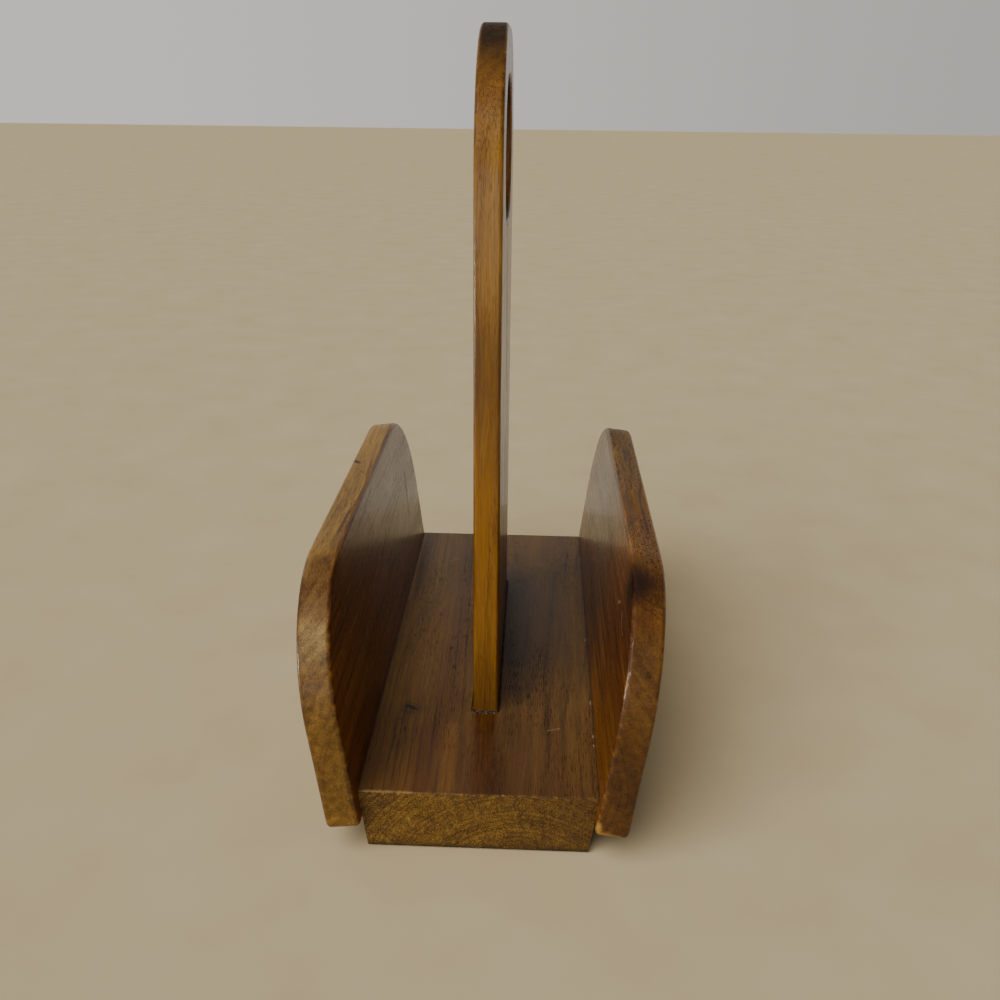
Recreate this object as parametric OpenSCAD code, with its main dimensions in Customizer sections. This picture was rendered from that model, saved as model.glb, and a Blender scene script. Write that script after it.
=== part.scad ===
// Wooden table napkin holder: a base block, two side panels that lean outwards, and an
// upright handle board between them. Napkins stand in the two bays beside the handle.
// X runs across the bays, Y along them and Z up. The origin is the centre of the base's underside.

/* [Base] */
// Length of the base block, front to back
base_length = 157; // [130:1:200]
// Width of the base block across its top
base_width = 62; // [52:1:90]
// Thickness of the base block
base_thickness = 18; // [15:0.5:26]
// Radius of the base block's eased edges
base_ease = 1; // [0.5:0.1:2]

/* [Side panels] */
// Angle that each panel leans outwards, in degrees
panel_lean = 6.8; // [2:0.1:12]
// Thickness of each panel
panel_thickness = 8.6; // [8:0.1:14]
// Height of each panel above the base's top, along its slope
panel_rise = 56; // [45:1:90]
// How far each panel's lower edge is lifted off the table
panel_lift = 9; // [5:0.5:11]
// How far each panel stands out in front of the base
panel_overhang = 4.5; // [0:0.5:10]
// Radius of each panel's upper corners
panel_corner = 34; // [10:1:40]
// Radius of each panel's lower corners
panel_foot_corner = 3; // [2.6:0.1:6]
// Radius of the panels' eased edges
panel_ease = 1.2; // [0.5:0.1:1.3]

/* [Handle] */
// Width of the handle board, front to back
handle_width = 81.5; // [78:0.5:110]
// Thickness of the handle board
handle_thickness = 7; // [6:0.5:10]
// Height of the whole holder, to the handle's top
total_height = 198.8; // [180:0.1:240]
// Radius of the handle's upper corners
handle_corner = 33; // [15:1:39]
// Radius of the handle's eased edges
handle_ease = 1; // [0.5:0.1:1.4]
// Depth of the groove in the base that the handle stands in
groove_depth = 4; // [2:0.5:5]

/* [Grip hole] */
// Width of the grip hole, front to back
grip_width = 49; // [42:1:60]
// Height of the grip hole
grip_height = 37; // [28:1:40]
// Wood left between the grip hole and the handle's top
grip_rim = 11.6; // [8:0.1:20]
// Radius of the grip hole's eased edges
grip_ease = 0.8; // [0.4:0.1:1.2]

/* [Dowels] */
// Number of dowels in each panel
dowel_count = 3; // [2:1:4]
// Diameter of each dowel
dowel_diameter = 5; // [4:0.5:6]
// Length of each dowel inside the base
dowel_in_base = 14; // [10:1:18]
// Length of each dowel inside the panel
dowel_in_panel = 6; // [4:0.5:6.5]
// Distance of the end dowels from the base's ends
dowel_inset = 24; // [15:1:40]
// Bevel on each dowel's ends
dowel_bevel = 0.6; // [0.2:0.1:1]

/* [Screws] */
// Diameter of each handle screw's shank
screw_diameter = 3; // [2.5:0.1:3.5]
// Length of each handle screw
screw_length = 32; // [26:1:40]
// Diameter of each countersunk head
screw_head_diameter = 6; // [5:0.1:7]
// Height of each countersunk head
screw_head_height = 1.8; // [1.5:0.1:2.5]
// Length of each screw's point
screw_point = 4; // [2:0.5:6]
// Width of the head's cross slots
screw_slot_width = 0.9; // [0.6:0.1:1.2]
// Length of the head's cross slots
screw_slot_length = 3.2; // [2:0.1:4]
// Depth of the head's cross slots
screw_slot_depth = 1; // [0.6:0.1:1.3]
// How far the heads lie below the base's underside
screw_sink = 0.6; // [0.3:0.1:1.5]
// Distance between the two screws
screw_spacing = 50; // [30:1:60]

/* [Glue] */
// Width and height of the glue bead round the handle's foot
glue_bead_size = 0.7; // [0.3:0.1:1.2]

/* [Fits] */
// Gap on each side of the handle in its groove
groove_gap = 0.1; // [0.05:0.05:0.2]
// Gap round each dowel
dowel_gap = 0.1; // [0.05:0.05:0.2]
// Gap past the ends of the dowels and screws
end_gap = 0.3; // [0.1:0.1:0.5]
// Gap round each screw
screw_gap = 0.1; // [0.05:0.05:0.2]

/* [Hidden] */
$fn = 96;
overrun = 1;

base_wood = [0.36, 0.26, 0.17];
panel_wood = [0.50, 0.33, 0.18];
handle_wood = [0.58, 0.38, 0.18];
dowel_wood = [0.80, 0.66, 0.46];
screw_steel = [0.66, 0.66, 0.64];
glue_white = [0.84, 0.79, 0.68];

// Width across the underside, because the sides slope with the panels
base_foot_width = base_width - 2 * base_thickness * tan(panel_lean);
// Corner angle between the underside and a sloping side
foot_angle = 90 + panel_lean;
// Distance from that corner to where its easing begins
foot_tangent = base_ease / tan(foot_angle / 2);

// Panels, along their slope and from front to back
panel_drop = (base_thickness - panel_lift) / cos(panel_lean);
panel_height = panel_rise + panel_drop;
panel_length = base_length + panel_overhang;
panel_centre = -panel_overhang / 2;

// Handle and grip hole, centred on the panels along the bays
handle_centre = panel_centre;
handle_foot = base_thickness - groove_depth;
handle_height = total_height - handle_foot;
grip_centre = total_height - grip_rim - grip_height / 2;
grip_straight = grip_width - grip_height;

// Dowels, on the middle line of the seam between panel and base
dowel_drop = panel_drop / 2;
dowel_reach = base_length / 2 - dowel_inset;
dowel_pitch = 2 * dowel_reach / (dowel_count - 1);

// Screws, from the underside up into the handle
screw_pilot_top = screw_sink + screw_length + end_gap;

// Flat strip from y = 0 to y = reach, whose two far corners are rounded
module nosed_strip(thickness, reach, ease) {
    square([thickness, reach - ease]);
    translate([ease, 0])
        square([thickness - 2 * ease, reach]);
    for (x = [ease, thickness - ease])
        translate([x, reach - ease])
            circle(r = ease);
}

// Quarter disc with an eased rim, turned about the board's thickness
module eased_corner(thickness, radius, ease, turn) {
    rotate([turn, 0, 0])
        rotate([0, 90, 0])
            rotate_extrude(angle = 90)
                mirror([1, -1, 0])
                    nosed_strip(thickness, radius, ease);
}

// Part of a board that runs along Y, with its far edge eased, up or down from z = 0
module eased_run(thickness, reach, length, ease, down = false) {
    rotate([90, 0, 0])
        linear_extrude(height = length, center = true)
            mirror([0, down ? 1 : 0, 0])
                nosed_strip(thickness, reach, ease);
}

// Part of a board that runs along Z, with its front and rear edges eased
module eased_post(thickness, length, height, ease) {
    linear_extrude(height = height) {
        nosed_strip(thickness, length / 2, ease);
        mirror([0, 1, 0])
            nosed_strip(thickness, length / 2, ease);
    }
}

// Upright board with round upper corners and all its upper edges eased.
// It stands on z = 0, is centred on Y and reaches from x = 0 to its thickness.
module board(thickness, length, height, corner, foot_corner, ease) {
    shoulder = height - corner;
    translate([0, 0, foot_corner])
        eased_post(thickness, length, shoulder - foot_corner, ease);
    translate([0, 0, shoulder])
        eased_run(thickness, corner, length - 2 * corner, ease);
    for (side = [-1, 1])
        translate([0, side * (length / 2 - corner), shoulder])
            eased_corner(thickness, corner, ease, side > 0 ? 90 : 180);
    if (foot_corner > 0) {
        translate([0, 0, foot_corner])
            eased_run(thickness, foot_corner, length - 2 * foot_corner, ease, down = true);
        for (side = [-1, 1])
            translate([0, side * (length / 2 - foot_corner), foot_corner])
                eased_corner(thickness, foot_corner, ease, side > 0 ? 0 : 270);
    }
}

// Moves a shape from the panel's own axes to the right side of the base: x outwards from
// the inner face, z up the slope from the base's top edge
module on_right_side() {
    translate([base_width / 2, 0, base_thickness])
        rotate([0, panel_lean, 0])
            children();
}

// Puts a shape that stands on z = 0 at every dowel's place, in the panel's own axes, so
// that it points outwards from the seam between panel and base
module at_dowels() {
    for (i = [0 : dowel_count - 1])
        translate([0, i * dowel_pitch - dowel_reach, -dowel_drop])
            rotate([0, 90, 0])
                children();
}

// Rod that stands on z = 0, with bevelled ends
module bevelled_rod(diameter, length, bevel) {
    radius = diameter / 2;
    rotate_extrude()
        polygon([[0, 0], [radius - bevel, 0], [radius, bevel], [radius, length - bevel],
                 [radius - bevel, length], [0, length]]);
}

module dowel_row() {
    at_dowels()
        translate([0, 0, -dowel_in_base])
            bevelled_rod(dowel_diameter, dowel_in_base + dowel_in_panel, dowel_bevel);
}

module dowel_holes() {
    at_dowels()
        translate([0, 0, -dowel_in_base - end_gap])
            cylinder(d = dowel_diameter + 2 * dowel_gap,
                     h = dowel_in_base + dowel_in_panel + 2 * end_gap);
}

// Outline of the base across the bays: sloping sides and eased lower corners
module base_outline() {
    half_foot = base_foot_width / 2;
    side_x = half_foot + foot_tangent * sin(panel_lean);
    side_z = foot_tangent * cos(panel_lean);
    polygon([[foot_tangent - half_foot, 0], [half_foot - foot_tangent, 0], [side_x, side_z],
             [base_width / 2, base_thickness], [-base_width / 2, base_thickness], [-side_x, side_z]]);
    for (side = [-1, 1])
        translate([side * (half_foot - foot_tangent), base_ease])
            circle(r = base_ease);
}

module base() {
    groove_width = handle_thickness + 2 * groove_gap;
    groove_length = handle_width + 2 * groove_gap;
    color(base_wood)
        difference() {
            intersection() {
                rotate([90, 0, 0])
                    linear_extrude(height = base_length + 2 * overrun, center = true)
                        base_outline();
                translate([-base_width / 2 - overrun, 0, 0])
                    rotate([90, 0, 90])
                        linear_extrude(height = base_width + 2 * overrun)
                            base_side_outline();
            }
            translate([-groove_width / 2, handle_centre - groove_length / 2, handle_foot])
                cube([groove_width, groove_length, groove_depth + overrun]);
            on_right_side()
                dowel_holes();
            mirror([1, 0, 0])
                on_right_side()
                    dowel_holes();
            at_screws()
                screw_hole();
        }
}

// Outline of the base along the bays, with all four corners eased
module base_side_outline() {
    half = base_length / 2;
    translate([-half, base_ease])
        square([base_length, base_thickness - 2 * base_ease]);
    translate([base_ease - half, 0])
        square([base_length - 2 * base_ease, base_thickness]);
    for (y = [base_ease - half, half - base_ease], z = [base_ease, base_thickness - base_ease])
        translate([y, z])
            circle(r = base_ease);
}

module panel() {
    on_right_side()
        difference() {
            translate([0, panel_centre, -panel_drop])
                board(panel_thickness, panel_length, panel_height, panel_corner,
                      panel_foot_corner, panel_ease);
            dowel_holes();
        }
}

module right_panel() {
    color(panel_wood)
        panel();
}

module left_panel() {
    color(panel_wood)
        mirror([1, 0, 0])
            panel();
}

module right_dowels() {
    color(dowel_wood)
        on_right_side()
            dowel_row();
}

module left_dowels() {
    color(dowel_wood)
        mirror([1, 0, 0])
            on_right_side()
                dowel_row();
}

module handle() {
    color(handle_wood)
        difference() {
            translate([-handle_thickness / 2, handle_centre, handle_foot])
                board(handle_thickness, handle_width, handle_height, handle_corner, 0, handle_ease);
            grip_hole();
            at_screws()
                cylinder(d = screw_diameter + 2 * screw_gap, h = screw_pilot_top);
        }
}

// Grip hole with round ends, whose rims are eased on both faces
module grip_hole() {
    radius = grip_height / 2;
    translate([0, handle_centre, grip_centre])
        rotate([0, 90, 0]) {
            for (side = [-1, 1])
                translate([0, side * grip_straight / 2, 0])
                    rotate_extrude()
                        grip_cut_profile(radius);
            rotate([90, 0, 0])
                linear_extrude(height = grip_straight, center = true)
                    for (side = [0, 1])
                        mirror([side, 0, 0])
                            grip_cut_profile(radius);
        }
}

// Half of the grip hole's section, from its middle line to its flared rims
module grip_cut_profile(radius) {
    half = handle_thickness / 2;
    difference() {
        translate([0, -half])
            square([radius + grip_ease, handle_thickness]);
        translate([radius, grip_ease - half])
            square([grip_ease + overrun, handle_thickness - 2 * grip_ease]);
        for (side = [-1, 1])
            translate([radius + grip_ease, side * (half - grip_ease)])
                circle(r = grip_ease);
    }
    translate([0, -half - overrun])
        square([radius, handle_thickness + 2 * overrun]);
}

// Puts a shape at both screws' places, on the base's underside
module at_screws() {
    for (side = [-1, 1])
        translate([0, handle_centre + side * screw_spacing / 2, 0])
            children();
}

// Clearance hole and countersink for one screw
module screw_hole() {
    head_radius = screw_head_diameter / 2 + screw_gap;
    shank_radius = screw_diameter / 2 + screw_gap;
    translate([0, 0, -overrun])
        cylinder(r = head_radius, h = overrun + screw_sink);
    translate([0, 0, screw_sink])
        cylinder(r1 = head_radius, r2 = shank_radius, h = screw_head_height);
    cylinder(r = shank_radius, h = handle_foot + overrun);
}

// One countersunk screw, head down, with a cross slot
module screw() {
    head_radius = screw_head_diameter / 2;
    shank_radius = screw_diameter / 2;
    translate([0, 0, screw_sink])
        difference() {
            rotate_extrude()
                polygon([[0, 0], [head_radius, 0], [shank_radius, screw_head_height],
                         [shank_radius, screw_length - screw_point], [0, screw_length]]);
            for (turn = [0, 90])
                rotate(turn)
                    translate([-screw_slot_length / 2, -screw_slot_width / 2, -overrun])
                        cube([screw_slot_length, screw_slot_width, screw_slot_depth + overrun]);
        }
}

module handle_screws() {
    color(screw_steel)
        at_screws()
            screw();
}

// Bead of set glue round the handle's foot, with a triangular section
module glue_bead() {
    half_width = handle_width / 2;
    half_thickness = handle_thickness / 2;
    color(glue_white)
        translate([0, handle_centre, base_thickness]) {
            for (side = [0, 1])
                mirror([side, 0, 0])
                    rotate([90, 0, 0])
                        linear_extrude(height = handle_width - 2 * handle_ease, center = true)
                            bead_section(half_thickness);
            for (side = [-90, 90])
                rotate(side)
                    rotate([90, 0, 0])
                        linear_extrude(height = handle_thickness - 2 * handle_ease, center = true)
                            bead_section(half_width);
            for (x = [-1, 1], y = [-1, 1])
                translate([x * (half_thickness - handle_ease), y * (half_width - handle_ease), 0])
                    rotate(x > 0 ? (y > 0 ? 0 : -90) : (y > 0 ? 90 : 180))
                        rotate_extrude(angle = 90)
                            bead_section(handle_ease);
        }
}

module bead_section(start) {
    polygon([[start, 0], [start + glue_bead_size, 0], [start, glue_bead_size]]);
}

base();
left_panel();
right_panel();
handle();
left_dowels();
right_dowels();
handle_screws();
glue_bead();
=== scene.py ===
"""A wooden napkin holder: lacquered boards, seen from the front and above."""

import math

import bpy
from mathutils import Matrix, Vector

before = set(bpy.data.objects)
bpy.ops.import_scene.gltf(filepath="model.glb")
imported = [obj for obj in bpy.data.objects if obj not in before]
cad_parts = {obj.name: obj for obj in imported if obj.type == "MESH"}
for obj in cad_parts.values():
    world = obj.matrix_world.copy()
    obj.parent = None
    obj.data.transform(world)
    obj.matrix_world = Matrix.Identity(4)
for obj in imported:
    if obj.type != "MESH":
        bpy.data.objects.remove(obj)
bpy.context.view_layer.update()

MM = 0.001

# Sizes of the boards, in millimetres, as in the part's source.
BASE_LENGTH = 157
BASE_WIDTH = 62
BASE_THICKNESS = 18
PANEL_LEAN = math.radians(6.8)
HANDLE_CENTRE = -2.25

# Directions: right, forward, back and up, and the way a panel's edge faces at its top.
RIGHT = (1, 0, 0)
FORWARD = (0, -1, 0)
BACK = (0, 1, 0)
UP = (0, 0, 1)
UP_RIGHT_PANEL = (math.sin(PANEL_LEAN), 0, math.cos(PANEL_LEAN))
UP_LEFT_PANEL = (-math.sin(PANEL_LEAN), 0, math.cos(PANEL_LEAN))

# The camera that took the photograph, worked out from the boards' edges.
CAMERA_PLACE = (11.78, -279.07, 185.76)
CAMERA_YAW = -0.0349
CAMERA_PITCH = 0.40425
CAMERA_ROLL = 0.01143
CAMERA_FOCUS = 982.35
FRAME_PIXELS = 1000
SENSOR = 36
NEAREST_SEEN = 0.01


class Amount:
    """A number that varies over a surface. Arithmetic on it adds Math nodes to its works."""

    def __init__(self, works, socket):
        self.works = works
        self.socket = socket

    def sum_up(self, operation, *values):
        return self.works.value("ShaderNodeMath", {"operation": operation}, dict(enumerate(values)))

    def __add__(self, other):
        return self.sum_up("ADD", self, other)

    def __sub__(self, other):
        return self.sum_up("SUBTRACT", self, other)

    def __rsub__(self, other):
        return self.sum_up("SUBTRACT", other, self)

    def __mul__(self, other):
        return self.sum_up("MULTIPLY", self, other)

    def __truediv__(self, other):
        return self.sum_up("DIVIDE", self, other)

    def __pow__(self, other):
        return self.sum_up("POWER", self, other)

    def __abs__(self):
        return self.sum_up("ABSOLUTE", self)

    __radd__ = __add__
    __rmul__ = __mul__


class Works:
    """The nodes of one finish, or of the room's light."""

    def __init__(self, tree):
        self.tree = tree
        tree.nodes.clear()

    def add(self, kind, settings=None, inputs=None):
        """One node: its type, its settings, then the values or links of its sockets."""
        node = self.tree.nodes.new(kind)
        for name, setting in (settings or {}).items():
            if name == "stops":
                self.set_stops(node.color_ramp, setting)
            else:
                setattr(node, name, setting)
        for name, value in (inputs or {}).items():
            if isinstance(value, Amount):
                self.tree.links.new(value.socket, node.inputs[name])
            else:
                node.inputs[name].default_value = value
        return node

    def set_stops(self, ramp, stops):
        """Sets a ramp's stops, each a place from 0 to 1 and a colour."""
        while len(ramp.elements) < len(stops):
            ramp.elements.new(1)
        for element, (place, colour) in zip(ramp.elements, stops):
            element.position = place
            element.color = colour

    def value(self, kind, settings=None, inputs=None, output=0):
        return Amount(self, self.add(kind, settings, inputs).outputs[output])

    def vector(self, x, y, z):
        return self.value("ShaderNodeCombineXYZ", None, {0: x, 1: y, 2: z})

    def moved(self, operation, first, second):
        return self.value("ShaderNodeVectorMath", {"operation": operation}, {0: first, 1: second})

    def dot(self, first, second):
        return self.value(
            "ShaderNodeVectorMath", {"operation": "DOT_PRODUCT"}, {0: first, 1: second}, output=1
        )

    def length(self, vector):
        return self.value("ShaderNodeVectorMath", {"operation": "LENGTH"}, {0: vector}, output=1)

    def larger(self, value, floor):
        return self.value("ShaderNodeMath", {"operation": "MAXIMUM"}, {0: value, 1: floor})

    def smaller(self, value, ceiling):
        return self.value("ShaderNodeMath", {"operation": "MINIMUM"}, {0: value, 1: ceiling})

    def rise(self, value, low, high, start=0.0, end=1.0):
        """Goes smoothly from start at low to end at high."""
        return self.value(
            "ShaderNodeMapRange",
            {"interpolation_type": "SMOOTHSTEP"},
            {"Value": value, "From Min": low, "From Max": high, "To Min": start, "To Max": end},
        )

    def cloud(self, vector, detail=2.0, roughness=0.5):
        """Soft noise from 0 to 1 with cells as large as one unit of the vector."""
        return self.value(
            "ShaderNodeTexNoise",
            {"noise_dimensions": "3D"},
            {"Vector": vector, "Scale": 1.0, "Detail": detail, "Roughness": roughness},
        )

    def tint(self, amount, stops):
        """A colour for each amount from 0 to 1, along a ramp."""
        return self.value("ShaderNodeValToRGB", {"stops": stops}, {0: amount})

    def mixed(self, factor, first, second, blend="MIX"):
        """The second colour laid over the first one, as far as the factor says."""
        return self.value(
            "ShaderNodeMix",
            {"data_type": "RGBA", "blend_type": blend},
            {0: factor, 6: first, 7: second},
            output=2,
        )


def shade(red, green, blue):
    """A colour given as it shows on a screen, from 0 to 255, as the light it stands for."""
    parts = [part / 255 for part in (red, green, blue)]
    return tuple(p / 12.92 if p < 0.04 else ((p + 0.055) / 1.055) ** 2.4 for p in parts) + (1.0,)


# How coarse the unevenness of a stroke's outline is, in millimetres, and the share of its
# reach inside which it is full.
WOBBLE_CELL = 1.1
STROKE_CORE = 0.4


class Finish(Works):
    """A material with one shader, and the place on the part in millimetres."""

    def __init__(self, name, gloss):
        self.material = bpy.data.materials.new(name)
        self.material.use_nodes = True
        super().__init__(self.material.node_tree)
        self.shader = self.add("ShaderNodeBsdfPrincipled", None, gloss)
        self.add("ShaderNodeOutputMaterial", None, {"Surface": Amount(self, self.shader.outputs[0])})
        place = self.value("ShaderNodeTexCoord", output=3)
        self.place = self.moved("MULTIPLY", place, (1 / MM, 1 / MM, 1 / MM))
        self.facing = self.value("ShaderNodeNewGeometry", output=1)

    def lay(self, colour, roughness, relief, depth):
        """Joins the colour, the roughness and a relief of the given depth, in millimetres."""
        bump = self.value(
            "ShaderNodeBump", None, {"Height": relief, "Strength": 1.0, "Distance": depth * MM}
        )
        for name, value in (("Base Color", colour), ("Roughness", roughness), ("Normal", bump)):
            self.tree.links.new(value.socket, self.shader.inputs[name])
        return self.material

    def ragged(self, amount, cell):
        """The place, moved about at random by up to half the amount, for uneven outlines."""
        scaled = self.moved("DIVIDE", self.place, (cell, cell, cell))
        noise = self.value("ShaderNodeTexNoise", None, {"Vector": scaled, "Scale": 1.0}, output=1)
        sway = self.moved("MULTIPLY", self.moved("SUBTRACT", noise, (0.5, 0.5, 0.5)), (amount,) * 3)
        return self.moved("ADD", self.place, sway)

    def facing_way(self, way, low=0.4, high=0.9):
        """1 where the surface faces the given way, 0 where it faces elsewhere."""
        return self.rise(self.dot(self.facing, way), low, high)

    def stroke(self, start, end, reach, wobble=0.6):
        """1 on a stroke from start to end, in millimetres, fading to 0 at its reach."""
        way = Vector(end) - Vector(start)
        place = self.ragged(wobble, WOBBLE_CELL)
        away = self.moved("SUBTRACT", place, start)
        share = self.dot(away, tuple(way / way.length_squared))
        share = self.smaller(self.larger(share, 0.0), 1.0)
        nearest = self.moved("MULTIPLY", self.vector(share, share, share), tuple(way))
        off = self.length(self.moved("SUBTRACT", away, nearest))
        return self.rise(off, reach, reach * STROKE_CORE)

    def toned(self, amount, colour, gain):
        """The colour, its light multiplied by the gain as far as the amount says."""
        return self.mixed(amount, colour, (*gain, 1.0), "MULTIPLY")

    def tone_all(self, colour, marks, within=None):
        """Tones the colour on each mark: a stroke's start, end, reach and wobble, then a gain."""
        for start, end, reach, wobble, gain in marks:
            mark = self.stroke(start, end, reach, wobble)
            colour = self.toned(mark if within is None else mark * within, colour, gain)
        return colour

    def paint_all(self, colour, marks):
        """Paints each mark: a stroke's start, end, reach and wobble, an amount and a shade."""
        for start, end, reach, wobble, amount, paint in marks:
            colour = self.mixed(self.stroke(start, end, reach, wobble) * amount, colour, paint)
        return colour


class Board:
    """The directions in which a board was sawn, and where its rings lie."""

    def __init__(self, grain, width, thick, origin, pith, ring, seed, drift=0.0, dip=0.0, sway=9):
        self.grain = grain
        self.width = width
        self.thick = thick
        self.origin = origin
        self.pith = pith
        self.ring = ring
        self.seed = seed
        self.drift = drift
        self.dip = dip
        self.sway = sway


# How the distance from the pith line wavers: length along the grain, width across it and size,
# in millimetres. The slow waver's size is the board's own. Through the board it is weaker.
SLOW_WAVER = (95, 34)
QUICK_WAVER = (26, 7, 1.4)
WAVER_THROUGH = 0.4


def sawn(finish, board, swelling=None):
    """Distances in the board's own directions: along the grain, across it and through it.

    The growth rings are cylinders round a pith line outside the board. The distance from
    that line, wavered by slow noise, gives the streaks on the faces and the arcs on the ends.
    """
    from_origin = finish.moved("SUBTRACT", finish.place, board.origin)
    along = finish.dot(from_origin, board.grain)
    across = finish.dot(from_origin, board.width)
    through = finish.dot(from_origin, board.thick)
    length, width = SLOW_WAVER
    slow = finish.vector(along / length + board.seed, across / width, through / width)
    length, width, size = QUICK_WAVER
    quick = finish.vector(along / length, across / width + board.seed, through / width)
    sway = (finish.cloud(slow, 1.0) - 0.5) * board.sway + (finish.cloud(quick, 2.0) - 0.5) * size
    if swelling is not None:
        sway = sway + swelling
    out = across - board.pith[0] + along * board.drift + sway
    down = through - board.pith[1] + along * board.dip + sway * WAVER_THROUGH
    radius = (out * out + down * down) ** 0.5
    return along, across, through, radius


# Streaks along the grain: length and width in millimetres, then the noise's detail and roughness.
STREAKS = {
    "fibre": (9, 0.42, 2.0, 0.6),
    "strand": (48, 1.7, 3.0, 0.5),
    "speckle": (2.2, 0.34, 2.0, 0.7),
    "clump": (9, 1.9, 2.0, 0.5),
    "patch": (60, 13, 2.0, 0.5),
    "crowd": (30, 7, 1.0, 0.5),
}
# The rings. Years drift by this share of a year, over these numbers of years and millimetres.
YEAR_DRIFT = 1.6
DRIFT_YEARS = 0.37
DRIFT_LENGTH = 240
# A year's thin line darkens and ends at these shares of the year. Some years have none.
LINE_DARKENS = (0.55, 0.92)
LINE_ENDS = (1.0, 0.94)
LINE_STRONG = (0.4, 0.62)
# Pores stand out of their noise between these values, and crowd in places.
PORE_FROM = (0.55, 0.68)
PORE_CROWD = (0.38, 0.62, 0.25, 1.0)


def growth(finish, board, pore, swelling):
    """What a board shows: each a number from 0 to 1 over the surface.

    The year's bands and thin dark line follow the rings. Fibres and strands run along the
    grain, fine and coarse. Pores are short dark strokes, and dots where the wood is cut
    across, where speckle and clumps take the fibres' place.
    """
    along, across, through, radius = sawn(finish, board, swelling)
    seed = board.seed

    def streak(length, width, detail=1.0, roughness=0.5, shift=0.0):
        place = finish.vector(along / length + shift, across / width + seed, through / width)
        return finish.cloud(place, detail, roughness)

    year = radius / board.ring
    drift = finish.cloud(finish.vector(year * DRIFT_YEARS, seed, along / DRIFT_LENGTH), 1.0)
    drifted = year + (drift - 0.5) * YEAR_DRIFT
    phase = finish.value("ShaderNodeMath", {"operation": "FRACT"}, {0: drifted})
    strong = finish.cloud(finish.vector(year * 0.45 + seed, along / 45, across / 20), 2.0)
    line = finish.rise(phase, *LINE_DARKENS) * finish.rise(phase, *LINE_ENDS)
    crowd = streak(*STREAKS["crowd"], shift=seed)
    pores = streak(*pore)
    return {
        "bands": finish.cloud(finish.vector(year * 0.6 + seed, along / 160, seed), 4.0, 0.62),
        "line": line * finish.rise(strong, *LINE_STRONG),
        "fibre": streak(*STREAKS["fibre"]),
        "strand": streak(*STREAKS["strand"]),
        "patch": streak(*STREAKS["patch"], shift=seed),
        "pores": finish.rise(pores, *PORE_FROM) * finish.rise(crowd, *PORE_CROWD),
        "speckle": streak(*STREAKS["speckle"]),
        "clump": streak(*STREAKS["clump"]),
    }


EDGE_BREADTH = 2.6


def eased_edge(finish, board):
    """1 on the rounded edges between a face and an edge of the board, 0 on the flats."""
    out = abs(finish.dot(finish.facing, board.thick))
    return finish.smaller(out * finish.larger(1.0 - out * out, 0.0) ** 0.5 * EDGE_BREADTH, 1.0)


# What each feature adds to a tone on the faces and on the ends, the roughness and its changes,
# how far the narrow edges look sanded, and where an end begins. A board may say otherwise.
FIGURE = {
    "bands": 0.8, "line": -0.35, "fibre": 0.7, "strand": 0.6, "patch": 0.7, "pores": -0.3,
    "end_bands": 0.5, "end_line": -0.15, "end_speckle": 1.7, "end_clump": 0.6,
    "satin": 0.36, "wear": 0.4, "dull": 0.0, "ripple": 0.5, "patchy": 0.0,
    "sanded": 0.6, "end_from": 0.45,
}
LACQUER = {"IOR": 1.5, "Coat Weight": 0.17, "Coat Roughness": 0.2, "Coat IOR": 1.5}
PORE = (2.4, 0.26)
# What the features add to the roughness and to the relief, and take from the lacquer's coat.
ROUGHENS = {"fibre": 0.24, "strand": 0.3, "pores": 0.15, "rim": 0.16, "broken": 0.1}
SHAPES = {"fibre": 0.25, "pores": 0.6, "speckle": 0.9}
UNCOATS = {"rim": 0.75, "pores": 0.6}
WOOD_RELIEF = 0.08
# How far a surface turns from a face to a narrow edge, and from an edge to an end.
RIM_TURN = (0.6, 0.2)
END_TURN = 0.35
# Where the worn edges are broken, and how dark they are elsewhere.
EDGE_BROKEN = (0.78, 0.95)
EDGE_DARK = 0.35
# Where the lacquer is dry, and how thick its coat is from the dense to the open grain.
LACQUER_DRY = (0.78, 0.92)
COAT_ON_GRAIN = (0.38, 0.6, 0.3, 1.5)


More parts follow.
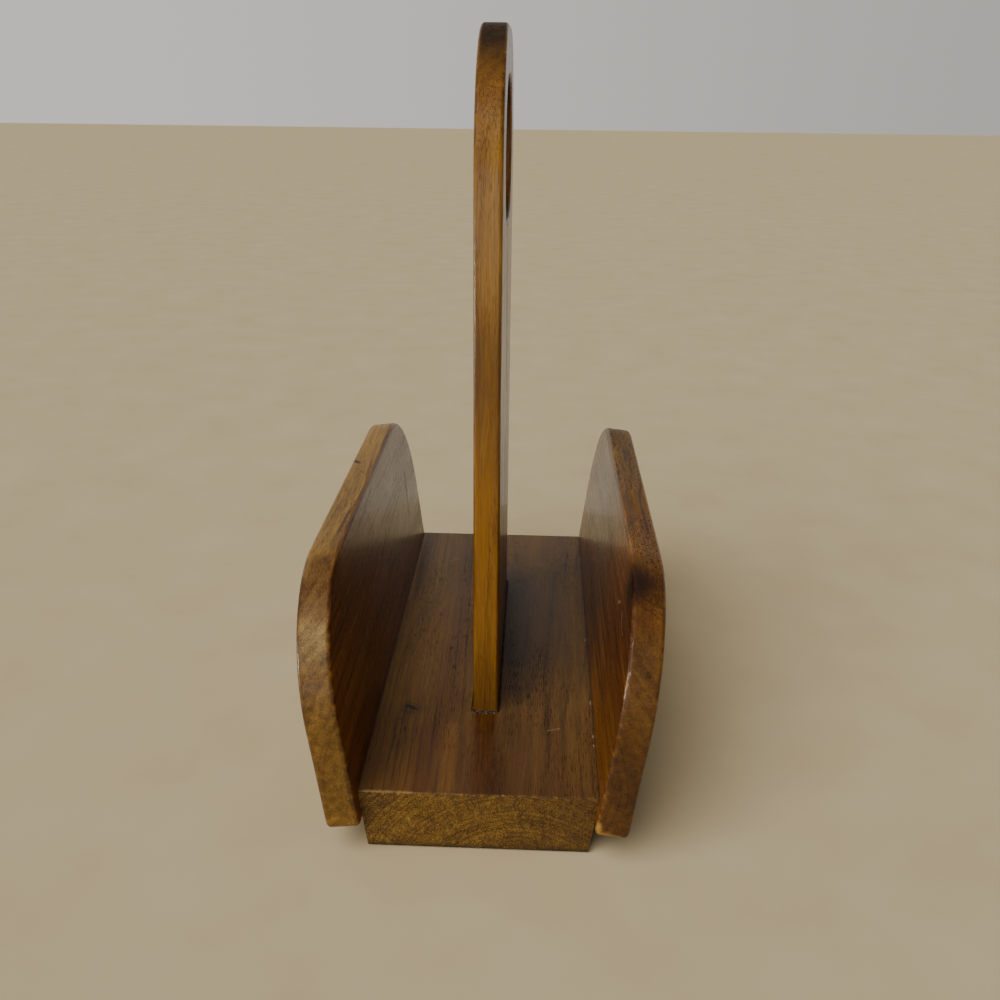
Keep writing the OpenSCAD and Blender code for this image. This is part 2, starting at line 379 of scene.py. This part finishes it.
def wood(name, board, tones, ends, figure=None, marks=None, swelling=None, gloss=None, pore=PORE):
    """Lacquered wood: rings, fibres and pores on the faces, speckle on the ends.

    A tone from 0 to 1 picks the colour from a ramp. Its figure says how much each of the
    board's features adds to it. Rounded edges are worn pale in places and dark in others.
    """
    strength = {**FIGURE, **(figure or {})}
    lacquer = {**LACQUER, **(gloss or {})}
    finish = Finish(name, lacquer)
    seen = growth(finish, board, pore, swelling(finish) if swelling else None)

    def tone(*names, prefix=""):
        total = 0.5
        for feature in names:
            amount = seen[feature] if feature in ("line", "pores") else seen[feature] - 0.5
            total = total + amount * strength.get(prefix + feature, strength.get(feature))
        return total

    cut = abs(finish.dot(finish.facing, board.grain))
    end = finish.rise(cut, strength["end_from"], strength["end_from"] + END_TURN)
    rim = finish.rise(abs(finish.dot(finish.facing, board.thick)), *RIM_TURN)
    face_tone = tone("bands", "line", "fibre", "strand", "patch", "pores")
    end_tone = tone("bands", "line", "speckle", "clump", prefix="end_")
    shown = face_tone + (end_tone - face_tone) * end
    sanded = finish.larger(end, rim * strength["sanded"])
    colour = finish.mixed(sanded, finish.tint(shown, tones), finish.tint(shown, ends))

    edge = eased_edge(finish, board)
    broken = finish.rise(seen["strand"] + seen["clump"] * 0.6, *EDGE_BROKEN)
    colour = finish.mixed(edge * broken * strength["wear"], colour, tones[-1][1])
    colour = finish.mixed(edge * (1.0 - broken) * EDGE_DARK, colour, tones[0][1])

    rough = strength["satin"] + (seen["fibre"] - 0.5) * ROUGHENS["fibre"]
    rough = rough + (seen["strand"] - 0.5) * ROUGHENS["strand"]
    rough = rough + seen["pores"] * ROUGHENS["pores"] + rim * ROUGHENS["rim"]
    rough = rough + edge * (broken * ROUGHENS["broken"] + strength["dull"])
    dry = finish.rise(seen["strand"] + seen["fibre"] * 0.5, *LACQUER_DRY)
    rough = rough + dry * strength["patchy"]
    relief = seen["fibre"] * SHAPES["fibre"] + seen["strand"] * strength["ripple"]
    relief = relief - seen["pores"] * SHAPES["pores"]
    relief = relief + end * (seen["speckle"] - 0.5) * SHAPES["speckle"]
    if marks:
        colour, rough, relief = marks(finish, colour, rough, relief)
    grain = seen["strand"] * 0.5 + seen["fibre"] * 0.3 + seen["patch"] * 0.2
    coat = lacquer["Coat Weight"] * (1.0 - rim * UNCOATS["rim"])
    coat = coat * finish.rise(grain, *COAT_ON_GRAIN)
    coat = coat * (1.0 - seen["pores"] * UNCOATS["pores"])
    finish.tree.links.new(coat.socket, finish.shader.inputs["Coat Weight"])
    return finish.lay(colour, rough, relief, WOOD_RELIEF)


def camera():
    """The photograph's camera: turned to the side, tipped down, then rolled."""
    ahead = Vector(
        (
            math.sin(CAMERA_YAW) * math.cos(CAMERA_PITCH),
            math.cos(CAMERA_YAW) * math.cos(CAMERA_PITCH),
            -math.sin(CAMERA_PITCH),
        )
    )
    level = Vector((math.cos(CAMERA_YAW), -math.sin(CAMERA_YAW), 0))
    upward = level.cross(ahead)
    right = level * math.cos(CAMERA_ROLL) + upward * math.sin(CAMERA_ROLL)
    up = upward * math.cos(CAMERA_ROLL) - level * math.sin(CAMERA_ROLL)
    data = bpy.data.cameras.new("camera")
    data.sensor_width = SENSOR
    data.lens = CAMERA_FOCUS * SENSOR / FRAME_PIXELS
    data.clip_start = NEAREST_SEEN
    taker = bpy.data.objects.new("camera", data)
    turn = Matrix((right, up, -ahead)).transposed().to_4x4()
    taker.matrix_world = Matrix.Translation(Vector(CAMERA_PLACE) * MM) @ turn
    bpy.context.scene.collection.objects.link(taker)
    bpy.context.scene.camera = taker


def hang(name, kind, place, aim):
    """A lamp at a place, turned to its aim, both in metres, that the camera doesn't see."""
    lamp = bpy.data.objects.new(name, bpy.data.lights.new(name, kind))
    lamp.location = place
    lamp.rotation_mode = "QUATERNION"
    lamp.rotation_quaternion = (Vector(aim) - Vector(place)).to_track_quat("-Z", "Y")
    lamp.visible_camera = False
    bpy.context.scene.collection.objects.link(lamp)
    return lamp


WINDOW_PLACE = (-0.36, -0.52, 0.78)
WINDOW_STRENGTH = 2.7
WINDOW_SPREAD = math.radians(52)
WINDOW_COLOUR = (1.0, 0.98, 0.93)


def window():
    """Soft daylight from high in front, on the left."""
    lamp = hang("window", "SUN", WINDOW_PLACE, (0, 0, 0))
    lamp.data.energy = WINDOW_STRENGTH
    lamp.data.angle = WINDOW_SPREAD
    lamp.data.color = WINDOW_COLOUR
    lamp.visible_glossy = False


DAYLIGHT = (1.0, 0.99, 0.97)
GREY_WALL = (0.93, 0.98, 1.04)
# Pale surfaces: place, aim, width and height in metres, then brightness and colour.
GLINTS = {
    "wall_behind": ((0.03, 0.118, 0.138), (-0.18, -0.88, 0.138), 0.9, 0.252, 0.17, GREY_WALL),
    "strip_in_front": ((-0.08, -0.62, 0.1), (0, -0.04, 0.15), 0.36, 0.13, 4.5, DAYLIGHT),
    "spot_on_the_left": ((-0.5, -0.16, 0.03), (0, -0.04, 0.13), 0.10, 0.06, 45.0, DAYLIGHT),
    "window_seen": ((-0.48, -0.95, 0.75), (0, -0.04, 0.1), 0.8, 0.8, 3.0, DAYLIGHT),
}


def glints():
    """Pale surfaces that show in the lacquer only.

    They are a wall close behind, a low bright strip in front, a small one low on the left and
    the window.
    """
    for name, (place, aim, width, height, brightness, colour) in GLINTS.items():
        lamp = hang(name, "AREA", place, aim)
        lamp.data.shape = "RECTANGLE"
        lamp.data.size = width
        lamp.data.size_y = height
        lamp.data.energy = brightness * math.pi * width * height
        lamp.data.color = colour
        lamp.visible_diffuse = False


ROOM_COLOUR = (1.0, 0.965, 0.90)
# The room's light, each from one direction's share to another's and from one level to another.
LEFT_TO_RIGHT = (-0.8, 0.5, 0.24, 0.05)
OVERHEAD = (0.35, 0.95, 0.0, 0.14)
WALL_GLOW = (-0.6, 0.7, 0.7, 0.44)
WALL_BEHIND = (-0.1, 0.6)
WALL_HEIGHT = (0.55, 0.08)


def room():
    """Soft light from all round: a bright wall low down behind, a dim side on the right."""
    world = bpy.data.worlds.new("room")
    world.use_nodes = True
    works = Works(world.node_tree)
    toward = works.value("ShaderNodeTexCoord")
    side = works.dot(toward, RIGHT)
    behind = works.dot(toward, BACK)
    height = works.dot(toward, UP)
    level = works.rise(side, *LEFT_TO_RIGHT) + works.rise(height, *OVERHEAD)
    wall = works.rise(behind, *WALL_BEHIND) * works.rise(height, *WALL_HEIGHT)
    glow = works.rise(side, *WALL_GLOW)
    light = level + wall * (glow - level)
    tone = works.moved("MULTIPLY", works.vector(light, light, light), ROOM_COLOUR)
    ground = works.add("ShaderNodeBackground", None, {"Color": tone, "Strength": 1.0})
    works.add("ShaderNodeOutputWorld", None, {"Surface": Amount(works, ground.outputs[0])})
    bpy.context.scene.world = world


FLOOR_REACH = 4
FLOOR_MOTTLE = 30


def floor():
    """A plain pale floor, flat, under the base."""
    reach = FLOOR_REACH
    mesh = bpy.data.meshes.new("floor")
    corners = [(-reach, -reach, 0), (reach, -reach, 0), (reach, reach, 0), (-reach, reach, 0)]
    mesh.from_pydata(corners, [], [(0, 1, 2, 3)])
    ground = bpy.data.objects.new("floor", mesh)
    bpy.context.scene.collection.objects.link(ground)
    finish = Finish("pale_floor", {"Specular IOR Level": 0.0})
    mottle = finish.cloud(finish.moved("DIVIDE", finish.place, (FLOOR_MOTTLE,) * 3), 3.0)
    colour = finish.tint(mottle, [(0.2, shade(196, 177, 140)), (0.8, shade(205, 188, 152))])
    mesh.materials.append(finish.lay(colour, 0.6 + mottle * 0.1, mottle, 0.01))


def board_stops(*shades):
    """A ramp's stops: the shades, evenly spaced from 0.1 to 0.9."""
    step = 0.8 / (len(shades) - 1)
    return [(0.1 + step * number, shade(*each)) for number, each in enumerate(shades)]


# Shades of the marks.
KNOT_CORE = shade(26, 13, 5)
KNOT_DARK = shade(34, 16, 8)
KNOT_ROUND = shade(60, 28, 5)
PAINTED_FRONT_SHADE = shade(66, 34, 14)
PAINTED_SIDE_SHADE = shade(64, 36, 6)
PAINTED_LOW_SHADE = shade(30, 18, 8)
NICK_DARK = shade(26, 14, 8)
STREAK_RED = shade(40, 22, 10)
STREAK_BROWN = shade(40, 24, 12)
BARE_WOOD = shade(196, 150, 70)
EDGE_PALE = shade(168, 132, 84)
PAINTED_HIGHLIGHT_PALE = shade(150, 116, 72)
SCRATCH_PALE = shade(176, 150, 112)
CRUMB_PALE = shade(186, 158, 120)
WORN_AND_HIGHLIGHT_PALE = shade(206, 172, 138)
DRIP_PALE = shade(196, 160, 116)


def base_wood():
    """Greyish brown, the grain front to back, its arcs hollow side down at the ends."""
    board = Board(
        grain=BACK, width=RIGHT, thick=UP, origin=(0, 0, BASE_THICKNESS / 2),
        pith=(11, -25), ring=1.4, seed=3.7, dip=-0.02, sway=5,
    )
    faces = board_stops((52, 31, 8), (88, 58, 20), (112, 78, 31), (140, 105, 54))
    ends = board_stops((48, 29, 5), (90, 60, 13), (126, 91, 26), (166, 130, 56))
    figure = {
        "bands": 0.4, "line": -0.17, "fibre": 0.6, "strand": 0.42, "patch": 0.5, "pores": -0.26,
        "satin": 0.42, "dull": 0.35, "wear": 0.1, "end_bands": 0.5, "end_line": -0.2,
    }
    gloss = {"Coat Weight": 0.08, "Specular IOR Level": 0.4}
    return wood("base_wood", board, faces, ends, figure, base_marks, gloss=gloss, pore=(3.6, 0.3))


TOP = BASE_THICKNESS
BASE_FRONT = -BASE_LENGTH / 2
# Bands on the base's top: start, end, reach and gain. Most are the wood's own figure; the painted
# light, shade and reflection among them are marked.
BASE_FIGURE_AND_PAINTED_LIGHT = (
    # Painted light: the left part of the top made lighter against the left panel's shade.
    ((-25, 74), (-25, -74), 12.0, (1.55, 1.6, 1.3)),
    ((-11, 66), (-12, -60), 5.5, (1.05, 0.98, 1.15)),
    ((-16, -52), (-15, -78), 4.0, (0.9, 0.78, 0.95)),
    ((-9, -50), (-8.6, -80), 2.6, (1.35, 1.3, 1.1)),
    # Figure and painted shade: darker and bluish right of the handle, where its shadow falls.
    ((6.5, 36), (8, -14), 7.0, (0.72, 0.75, 0.95)),
    # Painted reflection: the handle's darker reddish reflection in the top in front of it.
    ((0, -44), (1, -76), 4.4, (0.85, 0.66, 0.5)),
    ((4, -54), (5, -80), 13.0, (0.8, 0.8, 0.85)),
    ((25, 70), (26, -70), 7.0, (1.1, 1.12, 1.0)),
    ((21.3, 46), (17.4, -18), 0.8, (0.72, 0.7, 0.7)),
    ((12, 12), (10, -18), 0.8, (0.75, 0.7, 0.7)),
    ((17, -22), (17.6, -60), 0.8, (0.75, 0.7, 0.65)),
)
BAND_WOBBLE = 2.5
# The knot on the base's top: the dark wood round it, then its core.
BASE_HALO = (((-22.6, -41.3, TOP), (-20.6, -42.5, TOP), 3.4, 2.0, (0.72, 0.7, 0.72)),)
BASE_KNOT = ((-22.8, -41.2, TOP), (-20.6, -42.5, TOP), 1.0, 1.4)
# Worn places on the top front edge: from and to across the base, and reach.
BASE_WORN = ((-31, -17, 0.7), (-10, -4, 0.5), (4, 9, 0.45))
# A painted highlight along the left edge of the top, by the seam.
BASE_EDGE_HIGHLIGHT = (((-30.2, 76, TOP), (-30.2, 22, TOP), 0.5, 0.4, 0.45, PAINTED_HIGHLIGHT_PALE),)
# Scratches on the top: start and end.
BASE_SCRATCHES = (((-20.3, 52), (-14.9, 55.7)), ((17.9, -50.8), (21.2, -49.6)))
SCRATCH_REACH = 0.4
# Crumbs of glue along the right seam: from and to along it.
BASE_CRUMBS = ((-1, -2), (-36, -37.4), (-52.4, -53.2), (-56.6, -57.2))
CRUMB_SEAM = 30.5
CRUMB_REACH = 0.4
# Painted shade: up to this height, and along the edges of the sloping sides and of the top.
LOW_SHADE_HEIGHT = (2.8, 0.2)
LOW_SHADE_SIDES = (26.5, 31)
SEAM_SHADE = (30.5, 31)


def base_marks(finish, colour, rough, relief):
    """Bands and a knot on the top, worn edges, scratches and glue crumbs, with painted light, shade
    and reflection on the top, a painted highlight on the left edge, and painted shade on the sides
    and low down.
    """
    up = finish.facing_way(UP, 0.6, 0.9)
    for start, end, reach, gain in BASE_FIGURE_AND_PAINTED_LIGHT:
        band_and_light = finish.stroke((*start, TOP), (*end, TOP), reach, BAND_WOBBLE) * up
        colour = finish.toned(band_and_light, colour, gain)
    colour = finish.tone_all(colour, BASE_HALO)
    knot = finish.stroke(*BASE_KNOT)
    colour = finish.mixed(knot * 0.7, colour, KNOT_CORE)
    for left, right, reach in BASE_WORN:
        worn = finish.stroke((left, BASE_FRONT, TOP), (right, BASE_FRONT, TOP), reach, 0.9)
        colour = finish.mixed(worn * 0.6, colour, EDGE_PALE)

    forward = finish.dot(finish.place, FORWARD)
    across = finish.dot(finish.place, RIGHT)
    height = finish.dot(finish.place, UP)
    # Painted shade: the top darker and redder towards the front.
    colour = finish.mixed(finish.rise(forward, 30, 78) * up * 0.4, colour, PAINTED_FRONT_SHADE)
    # Painted shade: the front end and sides darker towards the right.
    colour = finish.mixed((1.0 - up) * finish.rise(across, 0, 27) * 0.4, colour, PAINTED_SIDE_SHADE)
    # Painted highlight along the left edge of the top.
    colour = finish.paint_all(colour, BASE_EDGE_HIGHLIGHT)
    for start, end in BASE_SCRATCHES:
        scratch = finish.stroke((*start, TOP), (*end, TOP), SCRATCH_REACH, 0.5)
        colour = finish.mixed(scratch * 0.22, colour, SCRATCH_PALE)
        relief = relief - scratch * 0.4
    for back, near in BASE_CRUMBS:
        crumb = finish.stroke((CRUMB_SEAM, back, TOP), (CRUMB_SEAM, near, TOP), CRUMB_REACH)
        colour = finish.mixed(crumb * 0.35, colour, CRUMB_PALE)

    # Painted shade low down, on the sides under the panels and along the seams with them.
    out = abs(across)
    low = finish.rise(height, *LOW_SHADE_HEIGHT)
    low = finish.larger(low, finish.rise(out - height * 0.6, *LOW_SHADE_SIDES) * 0.8)
    low_shade = finish.larger(low * 0.65, finish.rise(out, *SEAM_SHADE) * 0.8)
    colour = finish.mixed(low_shade, colour, PAINTED_LOW_SHADE)
    return colour, rough, relief - knot * 0.8


def panel_wood(side):
    """Reddish brown, the grain front to back. The side is 1 for the right, -1 for the left."""
    name = "panel_wood_right" if side > 0 else "panel_wood_left"
    board = Board(
        grain=BACK,
        width=UP_RIGHT_PANEL if side > 0 else UP_LEFT_PANEL,
        thick=(side * math.cos(PANEL_LEAN), 0, -math.sin(PANEL_LEAN)),
        origin=(side * BASE_WIDTH / 2, 0, BASE_THICKNESS),
        pith=(4, -38), ring=2.2, seed=11.3 if side > 0 else 23.9, drift=-0.02, dip=0.02,
    )
    figure = {
        "bands": 0.9, "line": -0.25, "patch": 0.5, "ripple": 0.9, "patchy": 0.25,
        "end_bands": 0.6, "end_line": -0.12, "end_speckle": 1.2, "end_clump": 0.5,
    }
    gloss = {"Specular IOR Level": 0.3, "Coat Weight": 0.36}
    # The right panel's ends are darker and the left's paler: partly the boards' own colour, partly
    # painted shade on the right and painted light on the left.
    if side > 0:
        faces = board_stops((62, 28, 4), (100, 53, 9), (134, 79, 20), (164, 110, 42))
        ends = board_stops((44, 23, 5), (78, 47, 12), (104, 68, 22), (136, 98, 42))
        figure.update({"pores": -0.6, "wear": 0.15, "bands": 0.75, "end_speckle": 0.8})
        return wood(name, board, faces, ends, figure, right_marks, knot_swell, gloss, (0.95, 0.32))
    faces = board_stops((56, 24, 3), (90, 45, 7), (118, 68, 17), (144, 94, 36))
    ends = board_stops((60, 39, 9), (98, 69, 21), (126, 95, 36), (160, 127, 64))
    figure.update({"pores": -0.16, "end_bands": 0.45, "end_speckle": 0.9, "end_clump": 0.7})
    return wood(name, board, faces, ends, figure, left_marks, None, gloss)


KNOT = (37.4, -61, 70.5)
KNOT_REACH = 14
KNOT_SWELLING = 5
# The dark wood round the knot and the knot itself, each from gone to full.
KNOT_HALO = (17, 6)
KNOT_ITSELF = (8.5, 2.4)
# The right panel's marks: a painted sheen on its top edge, paler towards the back, darker low on its
# front edge and golden above, darker under the knot, worn pale inside the front edge with a painted
# highlight, drips inside.
RIGHT_FAR_SHEEN = ((41, 4, 73), (41, 60, 73), 16.0, 5.0)
RIGHT_FRONT = (
    ((33, -83, 31), (37, -83, 23), 7.0, 4.0, (0.8, 0.78, 0.8)),
    ((38, -82, 55), (37, -83, 42), 8.0, 4.0, (1.12, 1.18, 1.0)),
)
RIGHT_UNDER_KNOT = (((38.5, -70, 66), (38.5, -78, 60), 7.0, 4.0, (0.82, 0.76, 0.75)),)
RIGHT_PAINT = (
    # Worn pale, with a painted highlight, inside the front edge.
    ((36.2, -78.5, 57.5), (35, -80.9, 50.5), 0.5, 1.4, 0.35, WORN_AND_HIGHLIGHT_PALE),
    ((36.9, -74, 63), (36.2, -78.5, 57.5), 0.5, 1.4, 0.2, WORN_AND_HIGHLIGHT_PALE),
    ((35.7, -46, 57.2), (36.0, -50.5, 59.6), 0.55, 0.9, 0.42, DRIP_PALE),
    ((35.9, -55, 59.4), (35.6, -59, 57.0), 0.7, 0.9, 0.42, DRIP_PALE),
    ((35.6, -61.4, 56.8), (35.6, -62.2, 56.6), 0.6, 0.9, 0.42, DRIP_PALE),
)
# Bare wood on its lower front corner, up the edge and along the bottom.
RIGHT_BARE = ((29.8, -83, 13), (30.2, -82, 9.6), 2.2, 1.4)
RIGHT_BARE_FOOT = ((30, -82, 10.2), (35, -81.4, 9.2), 2.4, 1.6)
# Flecks of pores on its top edge: length and width.
FLECK = (3.2, 0.9)


def knot_swell(finish):
    """The rings bend round the right panel's knot."""
    away = finish.length(finish.moved("SUBTRACT", finish.place, KNOT))
    return finish.rise(away, KNOT_REACH, 0.0) * KNOT_SWELLING


def right_marks(finish, colour, rough, relief):
    """A flecked top edge paled by painted sheen, a dark knot at its front, a worn inner edge with a
    painted highlight, drips inside, a bare lower corner.
    """
    top = finish.facing_way(UP_RIGHT_PANEL, 0.3, 0.8)
    # Painted sheen: the top edge paler and greyer, more so towards the back.
    colour = finish.toned(top, colour, (1.22, 1.42, 1.52))
    far = finish.stroke(*RIGHT_FAR_SHEEN) * top
    colour = finish.toned(far, colour, (1.26, 1.44, 1.52))
    along = finish.dot(finish.place, BACK)
    across = finish.dot(finish.place, RIGHT)
    length, width = FLECK
    flecks = finish.cloud(finish.vector(along / length, across / width, 0.0), 1.0)
    flecked = finish.rise(flecks, 0.52, 0.62) * (far * 0.7 + top * 0.3)
    colour = finish.toned(flecked, colour, (0.66, 0.56, 0.5))

    front = finish.facing_way(FORWARD)
    colour = finish.toned(front, colour, (1.02, 0.96, 0.7))
    colour = finish.tone_all(colour, RIGHT_FRONT, front)

    away = finish.length(finish.moved("SUBTRACT", finish.ragged(2.6, 3.0), KNOT))
    colour = finish.mixed(finish.rise(away, *KNOT_HALO) * 0.5, colour, KNOT_ROUND)
    colour = finish.mixed(finish.rise(away, *KNOT_ITSELF) * 0.9, colour, KNOT_DARK)
    colour = finish.tone_all(colour, RIGHT_UNDER_KNOT)

    colour = finish.paint_all(colour, RIGHT_PAINT)
    bare = finish.larger(finish.stroke(*RIGHT_BARE), finish.stroke(*RIGHT_BARE_FOOT))
    colour = finish.mixed(bare * 0.75, colour, BARE_WOOD)
    return colour, rough + bare * 0.2, relief


# The left panel's marks: a dark smudge on its top front corner, a painted sheen below it
# and a paler foot, a nick in its top edge and a dark streak inside.
LEFT_SMUDGE = (((-41, -67, 68), (-41, -60, 71), 9.0, 3.0, (0.6, 0.52, 0.6)),)
LEFT_FRONT = (
    # Painted sheen on the front corner.
    ((-41, -72.5, 63.6), (-40, -77.5, 57.5), 7.0, 4.0, (1.14, 1.22, 1.7)),
    ((-30, -83, 10), (-38, -83, 9), 6.0, 2.0, (1.4, 1.4, 1.5)),
)
LEFT_NICK = ((-45.2, 14, 72.6), (-43.2, 11.4, 73.4), 1.0, 0.9)
LEFT_STREAK = ((-35.3, 55, 52.5), (-33.4, 51.6, 38), 2.0, 2.4)


def left_marks(finish, colour, rough, relief):
    """A top edge paled by painted sheen with a nick, a smudged front edge with painted sheen, a dark
    streak inside.
    """
    top = finish.facing_way(UP_LEFT_PANEL, 0.35, 0.85)
    # Painted sheen: the top edge paler and greyer.
    colour = finish.toned(top, colour, (1.42, 1.7, 2.4))
    colour = finish.tone_all(colour, LEFT_SMUDGE)
    colour = finish.toned(finish.facing_way(FORWARD), colour, (1.03, 0.95, 0.86))
    colour = finish.tone_all(colour, LEFT_FRONT)
    nick = finish.stroke(*LEFT_NICK)
    colour = finish.mixed(nick * 0.85, colour, NICK_DARK)
    streak = finish.stroke(*LEFT_STREAK)
    colour = finish.mixed(streak * 0.5, colour, STREAK_RED)
    return colour, rough + streak * 0.15, relief - nick


def handle_wood():
    """Golden brown, the grain upright, dark at the rounded top."""
    board = Board(
        grain=UP, width=BACK, thick=RIGHT, origin=(0, 0, 100),
        pith=(-64, 30), ring=2.4, seed=41.1, drift=0.02,
    )
    faces = board_stops((82, 48, 7), (112, 71, 13), (136, 92, 23), (166, 122, 44))
    ends = board_stops((26, 14, 4), (42, 25, 7), (56, 35, 10), (78, 52, 18))
    figure = {
        "bands": 0.5, "line": -0.08, "strand": 0.35, "pores": -0.12, "end_speckle": 1.0,
        "wear": 0.1, "ripple": 0.9, "patchy": 0.35, "sanded": 0.0, "end_from": 0.55,
    }
    gloss = {"Specular IOR Level": 0.3, "Coat Weight": 0.36}
    return wood("handle_wood", board, faces, ends, figure, handle_marks, gloss=gloss)


# Bands on the handle's front edge: full between the first and third heights, gone at the second
# and fourth, then the gain. The last is a painted highlight.
HANDLE_BANDS_AND_HIGHLIGHT = (
    (52, 26, 84, 104, (1.42, 1.45, 1.5)),
    (120, 102, 122, 138, (0.72, 0.7, 0.62)),
    # Painted highlight high on the front edge.
    (148, 128, 172, 184, (1.35, 1.5, 1.7)),
)
# Its front edge lies in front of these depths.
HANDLE_EDGE = (-27, -29)
# The grip hole's half length and height, each from gone to full.
HOLE_HALF = (26.5, 25.1)
HOLE_LOW = (146, 149)
HOLE_HIGH = (190, 188)
HANDLE_STREAK = ((3.5, -9, 152), (3.5, 3, 106), 9.0, 5.0)


def handle_marks(finish, colour, rough, relief):
    """Bands on the front edge with a painted highlight, painted shade in the grip hole and a dark
    broken streak on the right side.
    """
    depth = finish.dot(finish.place, BACK)
    front = finish.facing_way(FORWARD) * finish.rise(depth, *HANDLE_EDGE)
    height = finish.dot(finish.place, UP)
    for low, lowest, high, highest, gain in HANDLE_BANDS_AND_HIGHLIGHT:
        band_and_light = finish.rise(height, lowest, low) * finish.rise(height, highest, high) * front
        colour = finish.toned(band_and_light, colour, gain)
    sideways = abs(finish.dot(finish.facing, RIGHT))
    # Painted shade inside the grip hole.
    hole_shade = finish.rise(sideways, *RIM_TURN) * finish.rise(abs(depth - HANDLE_CENTRE), *HOLE_HALF)
    hole_shade = hole_shade * finish.rise(height, *HOLE_LOW) * finish.rise(height, *HOLE_HIGH)
    colour = finish.toned(hole_shade, colour, (0.42, 0.34, 0.3))
    gaps = finish.cloud(finish.moved("DIVIDE", finish.place, (9, 1.8, 9)), 2.0)
    streak = finish.stroke(*HANDLE_STREAK) * finish.rise(gaps, 0.48, 0.6)
    colour = finish.mixed(streak * 0.25, colour, STREAK_BROWN)
    rough = rough + streak * 0.45 - finish.rise(height, 130, 145) * front * 0.12
    return colour, rough, relief


def dowel_wood():
    """Bare pale wood, the grain along the dowels."""
    board = Board(
        grain=RIGHT, width=BACK, thick=UP, origin=(0, 0, BASE_THICKNESS / 2),
        pith=(-9, 4), ring=1.6, seed=5.2,
    )
    faces = board_stops((150, 118, 78), (186, 152, 108), (206, 176, 132))
    return wood("dowel_wood", board, faces, faces, gloss={"Coat Weight": 0.0})


def screw_steel():
    """Zinc-plated steel: grey, fine lathe rings, slightly blotched."""
    finish = Finish("screw_steel", {"Metallic": 1.0})
    blotch = finish.cloud(finish.moved("DIVIDE", finish.place, (1.4, 1.4, 1.4)), 3.0)
    turning = finish.cloud(finish.moved("DIVIDE", finish.place, (4.0, 4.0, 0.12)), 1.0)
    colour = finish.tint(blotch, [(0.3, shade(150, 148, 142)), (0.7, shade(188, 187, 184))])
    return finish.lay(colour, 0.28 + blotch * 0.2, turning, 0.01)


def dried_glue():
    """Brown dried glue with small pale lumps."""
    finish = Finish("dried_glue", {"IOR": 1.48, "Specular IOR Level": 0.2})
    lumps = finish.cloud(finish.moved("DIVIDE", finish.place, (0.7, 0.7, 0.4)), 3.0)
    tones = [(0.36, shade(40, 24, 10)), (0.56, shade(66, 44, 24)), (0.66, shade(128, 108, 86))]
    colour = finish.tint(lumps, tones)
    return finish.lay(colour, 0.5 + lumps * 0.2, lumps, 0.12)


def dress():
    """Gives each CAD node its finish."""
    finishes = {
        "base": base_wood(),
        "left_panel": panel_wood(-1),
        "right_panel": panel_wood(1),
        "handle": handle_wood(),
        "left_dowels": dowel_wood(),
        "handle_screws": screw_steel(),
        "glue_bead": dried_glue(),
    }
    finishes["right_dowels"] = finishes["left_dowels"]
    for name, material in finishes.items():
        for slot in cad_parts[name].material_slots:
            slot.material = material


camera()
room()
floor()
window()
glints()
dress()
